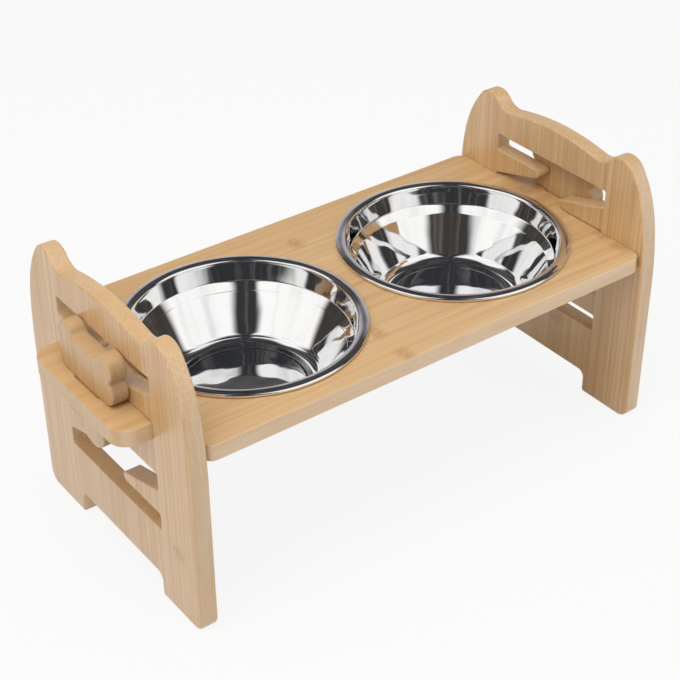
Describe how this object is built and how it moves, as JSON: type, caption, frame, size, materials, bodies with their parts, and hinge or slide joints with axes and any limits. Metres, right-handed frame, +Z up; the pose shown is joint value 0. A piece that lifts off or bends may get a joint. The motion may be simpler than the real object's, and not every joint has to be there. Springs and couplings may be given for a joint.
{
  "type": "dog bowl stand",
  "caption": "Raised bamboo feeder for a small dog: slotted side panels, a tongued board pinned by bone-shaped keys, and lift-out steel bowls.",
  "frame": {"origin": "floor level under the middle of the board, midway between the bowls", "axes": "+X along the board from the left panel to the right one, +Y to the back, +Z up"},
  "size_m": [0.4072, 0.1866, 0.1938],
  "materials": {
    "panel_bamboo": "satin lacquer, grain upright",
    "board_bamboo": "satin lacquer, grain along the board",
    "key_bamboo": "satin lacquer, grain upright",
    "polished_steel": "mirror-polished stainless steel"
  },
  "bodies": {
    "stand": {"side_panel_left": "panel_bamboo", "side_panel_right": "panel_bamboo", "bowl_board": "board_bamboo"},
    "left_key": {"bone_key_left": "key_bamboo"},
    "right_key": {"bone_key_right": "key_bamboo"},
    "left_bowl": {"bowl_left": "polished_steel"},
    "right_bowl": {"bowl_right": "polished_steel"}
  },
  "joints": [
    {"name": "left_bowl_lift", "type": "slide", "parent": "stand", "child": "left_bowl", "axis": [0, 0, 1], "range_m": [0, 0.115]},
    {"name": "right_bowl_lift", "type": "slide", "parent": "stand", "child": "right_bowl", "axis": [0, 0, 1], "range_m": [0, 0.115]},
    {"name": "left_key_lift", "type": "slide", "parent": "stand", "child": "left_key", "axis": [0, 0, 1], "range_m": [0, 0.11]},
    {"name": "right_key_lift", "type": "slide", "parent": "stand", "child": "right_key", "axis": [0, 0, 1], "range_m": [0, 0.11]}
  ]
}
